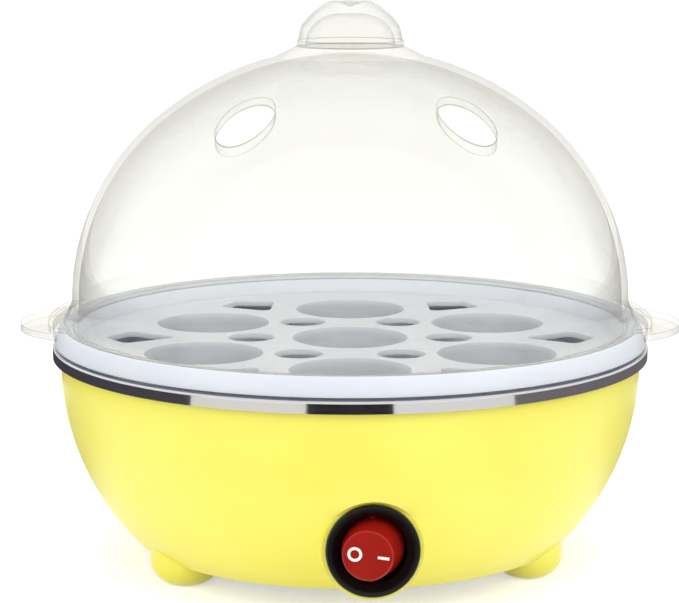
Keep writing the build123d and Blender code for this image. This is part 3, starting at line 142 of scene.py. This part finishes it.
# Painted shade: a grey line mixed into the lid's colour along its moulded edges, found by a Bevel node
rounded = add(tree, "ShaderNodeBevel", {"samples": 6, "Radius": EDGE_SHADE_WIDTH})
flat = add(tree, "ShaderNodeNewGeometry")
turn = add(tree, "ShaderNodeVectorMath", {"operation": "DOT_PRODUCT"},
           {0: rounded.outputs["Normal"], 1: flat.outputs["Normal"]})
painted_edge_shade = add(tree, "ShaderNodeMapRange", {"From Min": EDGE_SHADE_START, "From Max": EDGE_SHADE_FULL},
           {"Value": turn.outputs["Value"]})
edge_shaded = add(tree, "ShaderNodeMix", {"data_type": "RGBA", MIX_SECOND: linear("#CBCAC6")},
            {MIX_SHARE: painted_edge_shade.outputs["Result"], MIX_FIRST: cast.outputs["Color"]})
straight = add(tree, "ShaderNodeBsdfTransparent", links={"Color": edge_shaded.outputs[MIX_RESULT]})
bent = add(tree, "ShaderNodeMapRange", {"From Min": BENT_START, "To Min": BENT_LEAST, "To Max": BENT_MOST},
           {"Value": facing.outputs["Facing"]})
wall = add(tree, "ShaderNodeMixShader",
           links={0: bent.outputs["Result"], 1: straight.outputs["BSDF"], 2: shader.outputs["BSDF"]})
path = add(tree, "ShaderNodeLightPath")
lamp_ray = add(tree, "ShaderNodeMath", {"operation": "MAXIMUM"},
               {0: path.outputs["Is Shadow Ray"], 1: path.outputs["Is Diffuse Ray"]})
passed = add(tree, "ShaderNodeBsdfTransparent")
lit = add(tree, "ShaderNodeMixShader",
          links={0: lamp_ray.outputs[0], 1: wall.outputs["Shader"], 2: passed.outputs["BSDF"]})
show(tree, lit.outputs["Shader"])

# White polypropylene: moulded satin, cool white and milky, so light passes into its thin plate
white_polypropylene = grained("white_polypropylene", {
    "Roughness": 0.36, "IOR": 1.49, "Subsurface Weight": 0.6, "Subsurface Radius": (5 * MM, 5 * MM, 6 * MM),
    "Subsurface Scale": 1.0,
}, size=0.6 * MM, height=0.01 * MM, patch=30 * MM, low="#DADEE8", high="#E0E4ED")

# Stainless steel: spun and mirror polished, faint polishing lines run round it
POLISHING_LINES = (1, 1, 40)
polished_stainless, tree, shader = finish_of("polished_stainless", {
    "Base Color": linear("#DBDBDC"), "Metallic": 1.0, "Roughness": 0.06,
})
source = grain(tree, shader, 6 * MM, 0.002 * MM, POLISHING_LINES)
mottle(tree, source, shader.inputs["Roughness"], 8 * MM, grey(0.04), grey(0.09))

# Yellow ABS: gloss moulded, lemon yellow, with a very slight orange peel
yellow_abs = grained("yellow_abs", {"Roughness": 0.28, "IOR": 1.53},
                     size=1.2 * MM, height=0.006 * MM, patch=35 * MM, low="#FEF462", high="#FFF86C")

# Grey ABS: spark-textured cover that is out of sight under the cooker
grey_abs = grained("grey_abs", {"Roughness": 0.55, "IOR": 1.53},
                   size=0.5 * MM, height=0.04 * MM, patch=12 * MM, low="#8C8D8E", high="#97989A")

# Black nylon: moulded switch body, soft gloss with a fine grain
black_nylon = grained("black_nylon", {"Roughness": 0.34, "IOR": 1.53, "Specular IOR Level": 0.22},
                      size=0.3 * MM, height=0.008 * MM, patch=5 * MM, low="#060707", high="#0C0D0D")

# Red polycarbonate: moulded rocker, deep red and slightly see-through in depth
red_polycarbonate = grained("red_polycarbonate", {
    "Roughness": 0.22, "IOR": 1.58, "Specular IOR Level": 0.3, "Subsurface Weight": 0.25,
    "Subsurface Radius": (3 * MM, 0.4 * MM, 0.4 * MM), "Subsurface Scale": 1.0,
}, size=0.4 * MM, height=0.006 * MM, patch=6 * MM, low="#9C180F", high="#A61E14")

# White printing ink: the switch's marks, matt and a little uneven
white_ink = grained("white_ink", {"Roughness": 0.5},
                    size=0.15 * MM, height=0.01 * MM, patch=1.0 * MM, low="#F2EDEA", high="#FFFBF8")

# Black rubber: moulded bush, matt
black_rubber = grained("black_rubber", {"Roughness": 0.65, "IOR": 1.52},
                       size=0.25 * MM, height=0.02 * MM, patch=6 * MM, low="#161616", high="#222222")

# Cast aluminium: dull silver with a sandy grain
cast_aluminium = grained("cast_aluminium", {"Metallic": 1.0, "Roughness": 0.45},
                         size=0.5 * MM, height=0.04 * MM, patch=5 * MM, low="#C3C5C7", high="#D2D4D6")

# Zinc-plated steel: pressed, a cool sheen with cloudy patches
zinc_plated_steel = grained("zinc_plated_steel", {"Metallic": 1.0, "Roughness": 0.3},
                            size=0.8 * MM, height=0.01 * MM, patch=3 * MM, low="#B4B9BF", high="#CDD1D4")

# Brass: rolled and stamped, warm with slight tarnish
stamped_brass = grained("stamped_brass", {"Metallic": 1.0, "Roughness": 0.3},
                        size=0.5 * MM, height=0.008 * MM, patch=2.5 * MM, low="#C79A45", high="#E0BC6A")

# Phenolic: dark brown moulding, dull
brown_phenolic = grained("brown_phenolic", {"Roughness": 0.5, "IOR": 1.6},
                         size=0.3 * MM, height=0.02 * MM, patch=1.5 * MM, low="#2C1D14", high="#3A281C")

# Natural nylon: milky ivory moulding
ivory_nylon = grained("ivory_nylon", {
    "Roughness": 0.42, "IOR": 1.53, "Subsurface Weight": 0.2, "Subsurface Radius": (2 * MM, 2 * MM, 1.5 * MM),
    "Subsurface Scale": 1.0,
}, size=0.4 * MM, height=0.01 * MM, patch=4 * MM, low="#E3DFCF", high="#ECE9DC")

# Glass-fibre sleeve: a braid of pale threads that run aslant. A wave texture with a scale of 1 turns 20 radians a
# metre
THREAD_SPACING = 0.5 * MM
WAVES_PER_METRE = 20 / math.tau
BRAID_TURN = (0.6, 0.6, 0.6)
glass_braid, tree, shader = finish_of("glass_braid", {"Roughness": 0.7, "Sheen Weight": 0.2})
place = add(tree, "ShaderNodeTexCoord")
turned = add(tree, "ShaderNodeMapping", {"Rotation": BRAID_TURN}, {"Vector": place.outputs["Object"]})
threads = add(tree, "ShaderNodeTexWave", {"Scale": 1 / THREAD_SPACING / WAVES_PER_METRE, "Distortion": 1.0},
              {"Vector": turned.outputs["Vector"]})
bump = add(tree, "ShaderNodeBump", {"Distance": 0.05 * MM}, {"Height": threads.outputs["Fac"]})
tree.links.new(bump.outputs["Normal"], shader.inputs["Normal"])
mottle(tree, turned, shader.inputs["Base Color"], 1.5 * MM, linear("#D9D5C6"), linear("#EAE7DB"))


def insulation(name, low, high):
    """Extruded PVC on a lead: smooth, soft gloss, with faint draw marks."""
    return grained(name, {"Roughness": 0.4, "IOR": 1.53},
                   size=0.8 * MM, height=0.01 * MM, patch=4 * MM, low=low, high=high)


brown_pvc = insulation("brown_pvc", "#6A4026", "#764A2E")
blue_pvc = insulation("blue_pvc", "#2C5AA6", "#3566B4")
white_pvc = insulation("white_pvc", "#E2E2DF", "#EEEEEB")

slot_finish = {
    "clear_plastic": clear_styrene,
    "white_plastic": white_polypropylene,
    "polished_steel": polished_stainless,
    "yellow_plastic": yellow_abs,
    "grey_plastic": grey_abs,
    "black_plastic": black_nylon,
    "red_plastic": red_polycarbonate,
    "black_rubber": black_rubber,
    "aluminium": cast_aluminium,
    "plated_steel": zinc_plated_steel,
    "brass": stamped_brass,
    "phenolic": brown_phenolic,
    "natural_nylon": ivory_nylon,
    "glass_fibre": glass_braid,
    "brown_insulation": brown_pvc,
    "blue_insulation": blue_pvc,
    "white_insulation": white_pvc,
}
for piece in frame["record"]["subparts"]:
    for slot in frame["nodes"][piece["node"]].material_slots:
        slot.material = slot_finish[piece["material_slot"]]


def object_of(name, shape, finish):
    """Turns a bmesh into an object at the origin with one material."""
    mesh = bpy.data.meshes.new(name)
    shape.to_mesh(mesh)
    shape.free()
    mesh.materials.append(finish)
    made = bpy.data.objects.new(name, mesh)
    bpy.context.scene.collection.objects.link(made)
    return made


# Marks on the rocker: its face is tilted to the off side, about an upright pivot, and they are printed a little askew
ROCKER_TILT = math.radians(12)
PIVOT = Vector((0, -69.014, 20.6)) * MM
FACE_HEIGHT = 8.2 * MM
INK_HEIGHT = 0.04 * MM
PRINT_TURN = Matrix.Rotation(math.radians(-5.9), 4, "Z")
outward = Vector((-math.sin(ROCKER_TILT), -math.cos(ROCKER_TILT), 0))
across = Vector((math.cos(ROCKER_TILT), -math.sin(ROCKER_TILT), 0))
face_place = Matrix((
    (across.x, 0, outward.x, PIVOT.x + outward.x * FACE_HEIGHT),
    (across.y, 0, outward.y, PIVOT.y + outward.y * FACE_HEIGHT),
    (across.z, 1, outward.z, PIVOT.z + outward.z * FACE_HEIGHT),
    (0, 0, 0, 1),
))


def new_verts(result):
    """The vertices among what an operator made."""
    return [v for v in result["geom"] if isinstance(v, bmesh.types.BMVert)]


def ink_mark(name, shape):
    """Turns a flat mark, drawn on the face's plane, into a thin raised print that rides on the rocker."""
    bmesh.ops.recalc_face_normals(shape, faces=shape.faces)
    raised = bmesh.ops.extrude_face_region(shape, geom=list(shape.faces))
    bmesh.ops.translate(shape, vec=(0, 0, INK_HEIGHT), verts=new_verts(raised))
    bmesh.ops.recalc_face_normals(shape, faces=shape.faces)
    bmesh.ops.transform(shape, matrix=face_place @ PRINT_TURN, verts=shape.verts)
    mark = object_of(name, shape, white_ink)
    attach(mark, "rocker")


O_PLACE = -3.1 * MM
O_RADIUS = 1.8 * MM
O_SIDES = 64
STROKE = 0.7 * MM
ring = bmesh.new()
bmesh.ops.create_circle(ring, radius=O_RADIUS, segments=O_SIDES)
inner = bmesh.ops.extrude_edge_only(ring, edges=ring.edges)
bmesh.ops.scale(ring, vec=((O_RADIUS - STROKE) / O_RADIUS,) * 3, verts=new_verts(inner))
bmesh.ops.translate(ring, vec=(O_PLACE, 0, 0), verts=ring.verts)
ink_mark("off_mark", ring)

I_PLACE = 3.9 * MM
I_LENGTH = 2.8 * MM
dash = bmesh.new()
bmesh.ops.create_grid(dash, x_segments=1, y_segments=1, size=0.5)
bmesh.ops.scale(dash, vec=(I_LENGTH, STROKE, 1), verts=dash.verts)
bmesh.ops.translate(dash, vec=(I_PLACE, 0, 0), verts=dash.verts)
ink_mark("on_mark", dash)

# Camera, from the photo's perspective: it stands where the lid's ears are square to it
STAND_ANGLE = math.radians(-94.4)
STAND_DISTANCE = 611.9 * MM
STAND_HEIGHT = 175.4 * MM
PITCH = math.radians(9.855)
YAW = math.radians(0.2676)
PHOTO_WIDTH = 679
FOCAL_PIXELS = 2312.7
SENSOR_WIDTH = 36
camera_data = bpy.data.cameras.new("camera")
camera_data.sensor_width = SENSOR_WIDTH
camera_data.lens = FOCAL_PIXELS / PHOTO_WIDTH * SENSOR_WIDTH
camera = bpy.data.objects.new("camera", camera_data)
camera.location = (STAND_DISTANCE * math.cos(STAND_ANGLE), STAND_DISTANCE * math.sin(STAND_ANGLE), STAND_HEIGHT)
heading = STAND_ANGLE + math.pi + YAW
aim = Vector((math.cos(heading) * math.cos(PITCH), math.sin(heading) * math.cos(PITCH), -math.sin(PITCH)))
camera.rotation_euler = aim.to_track_quat("-Z", "Y").to_euler()
bpy.context.scene.collection.objects.link(camera)
bpy.context.scene.camera = camera


def seen_rays(tree):
    """1 where something is looked at, directly, mirrored or through the lid, and 0 where it gives light."""
    path = add(tree, "ShaderNodeLightPath")
    seen = add(tree, "ShaderNodeMath", {"operation": "MAXIMUM"},
               {0: path.outputs["Is Camera Ray"], 1: path.outputs["Is Glossy Ray"]})
    seen_or_through = add(tree, "ShaderNodeMath", {"operation": "MAXIMUM"},
                          {0: seen.outputs[0], 1: path.outputs["Is Transmission Ray"]})
    return seen_or_through.outputs[0]


# White studio: the world is white where it is seen, and softer as light
LIGHT_LEVEL = 0.6
world = bpy.data.worlds.new("studio")
bpy.context.scene.world = world
world.use_nodes = True
tree = world.node_tree
level = add(tree, "ShaderNodeMapRange", {"To Min": LIGHT_LEVEL, "To Max": 1.0}, {"Value": seen_rays(tree)})
background = tree.nodes["Background"]
background.inputs["Color"].default_value = WHITE
tree.links.new(level.outputs["Result"], background.inputs["Strength"])

# Floor: white and matt, it keeps the cooker's shadow
FLOOR_GLOW = 0.5
FLOOR_REACH = 6.0
white_card, tree, shader = finish_of("white_card", {
    "Base Color": linear("#F4F4F4"), "Roughness": 0.9, "Emission Color": WHITE,
})
glow = add(tree, "ShaderNodeMath", {"operation": "MULTIPLY", 1: FLOOR_GLOW}, {0: seen_rays(tree)})
tree.links.new(glow.outputs[0], shader.inputs["Emission Strength"])
sheet = bmesh.new()
bmesh.ops.create_grid(sheet, x_segments=1, y_segments=1, size=FLOOR_REACH)
floor = object_of("floor", sheet, white_card)

CARD_HEIGHT = 0.5 * MM
CARD_STEP = 3
SOLID_FROM = 0.6


def floor_card(name, reach, low, high, code, fade=None):
    """A flat sector on the floor that only glossy pieces see. Its angles are off the camera's side, and where fade
    gives a middle and a distance, it fades out at that distance."""
    paint, tree, shader = finish_of(name, {"Base Color": linear(code), "Roughness": 1.0, "Specular IOR Level": 0.0})
    if fade:
        middle, distance = fade
        place = add(tree, "ShaderNodeTexCoord")
        centred = add(tree, "ShaderNodeMapping", {"Location": -middle / distance, "Scale": (1 / distance,) * 3},
                      {"Vector": place.outputs["Object"]})
        ball = add(tree, "ShaderNodeTexGradient", {"gradient_type": "SPHERICAL"}, {0: centred.outputs["Vector"]})
        solid = add(tree, "ShaderNodeMapRange", {"interpolation_type": "SMOOTHSTEP", "From Max": SOLID_FROM},
                    {"Value": ball.outputs["Fac"]})
        clear = add(tree, "ShaderNodeBsdfTransparent")
        faded = add(tree, "ShaderNodeMixShader",
                    links={0: solid.outputs["Result"], 1: clear.outputs["BSDF"], 2: shader.outputs["BSDF"]})
        show(tree, faded.outputs["Shader"])
    start = STAND_ANGLE + math.radians(low)
    shape = bmesh.new()
    ends = [shape.verts.new((r * math.cos(start), r * math.sin(start), CARD_HEIGHT)) for r in reach]
    edge = shape.edges.new(ends)
    bmesh.ops.spin(shape, geom=ends + [edge], cent=(0, 0, 0), axis=(0, 0, 1), angle=math.radians(high - low),
                   steps=int((high - low) / CARD_STEP))
    card = object_of(name, shape, paint)
    card.visible_camera = False
    card.visible_diffuse = False
    card.visible_transmission = False
    card.visible_shadow = False


# Cards for the dark and pale bands in the steel rim, with the angles in degrees where the bands meet
FRONT_REACH = (110 * MM, 430 * MM)
RIM_REACH = (250 * MM, 1600 * MM)
FRONT_END = 14
LEFT_PALE_END = -54
RIGHT_PALE_END = 56
RIM_END = 165
floor_card("rim_front_card", FRONT_REACH, -FRONT_END, FRONT_END, "#2C282C")
floor_card("rim_left_pale_card", FRONT_REACH, LEFT_PALE_END, -FRONT_END, "#ECE9E2")
floor_card("rim_right_pale_card", FRONT_REACH, FRONT_END, RIGHT_PALE_END, "#EAE8E6")
floor_card("rim_left_card", RIM_REACH, -RIM_END, LEFT_PALE_END, "#4C484E")
floor_card("rim_right_card", RIM_REACH, RIGHT_PALE_END, RIM_END, "#787276")

# Softer cards that shade the bowl's two sides
SIDE_REACH = (85 * MM, 250 * MM)
SIDE_PLACE = 165 * MM
SIDE_FADE = 110 * MM
SIDE_START = 70
SIDE_END = 170
for name, low, high in (("side_left_card", -SIDE_END, -SIDE_START), ("side_right_card", SIDE_START, SIDE_END)):
    turn = STAND_ANGLE + math.radians((low + high) / 2)
    middle = Vector((math.cos(turn), math.sin(turn), 0)) * SIDE_PLACE
    floor_card(name, SIDE_REACH, low, high, "#A8A8A2", (middle, SIDE_FADE))

LAMP_TARGET = Vector((0, 0, 0.08))


def softbox(name, place, width, height, power):
    """A rectangular softbox that faces the cooker, and lights it without being mirrored."""
    data = bpy.data.lights.new(name, "AREA")
    data.shape = "RECTANGLE"
    data.size = width
    data.size_y = height
    data.energy = power
    lamp = bpy.data.objects.new(name, data)
    lamp.location = place
    lamp.rotation_euler = (LAMP_TARGET - Vector(place)).to_track_quat("-Z", "Y").to_euler()
    lamp.visible_glossy = False
    lamp.visible_transmission = False
    bpy.context.scene.collection.objects.link(lamp)


softbox("left_softbox", (-0.9, -0.9, 0.75), width=0.8, height=0.8, power=5.2)
softbox("right_softbox", (0.9, -0.9, 0.75), width=0.8, height=0.8, power=5.2)
softbox("top_softbox", (0, -0.25, 1.2), width=0.9, height=0.6, power=3.8)

bpy.context.scene.view_settings.view_transform = "Standard"
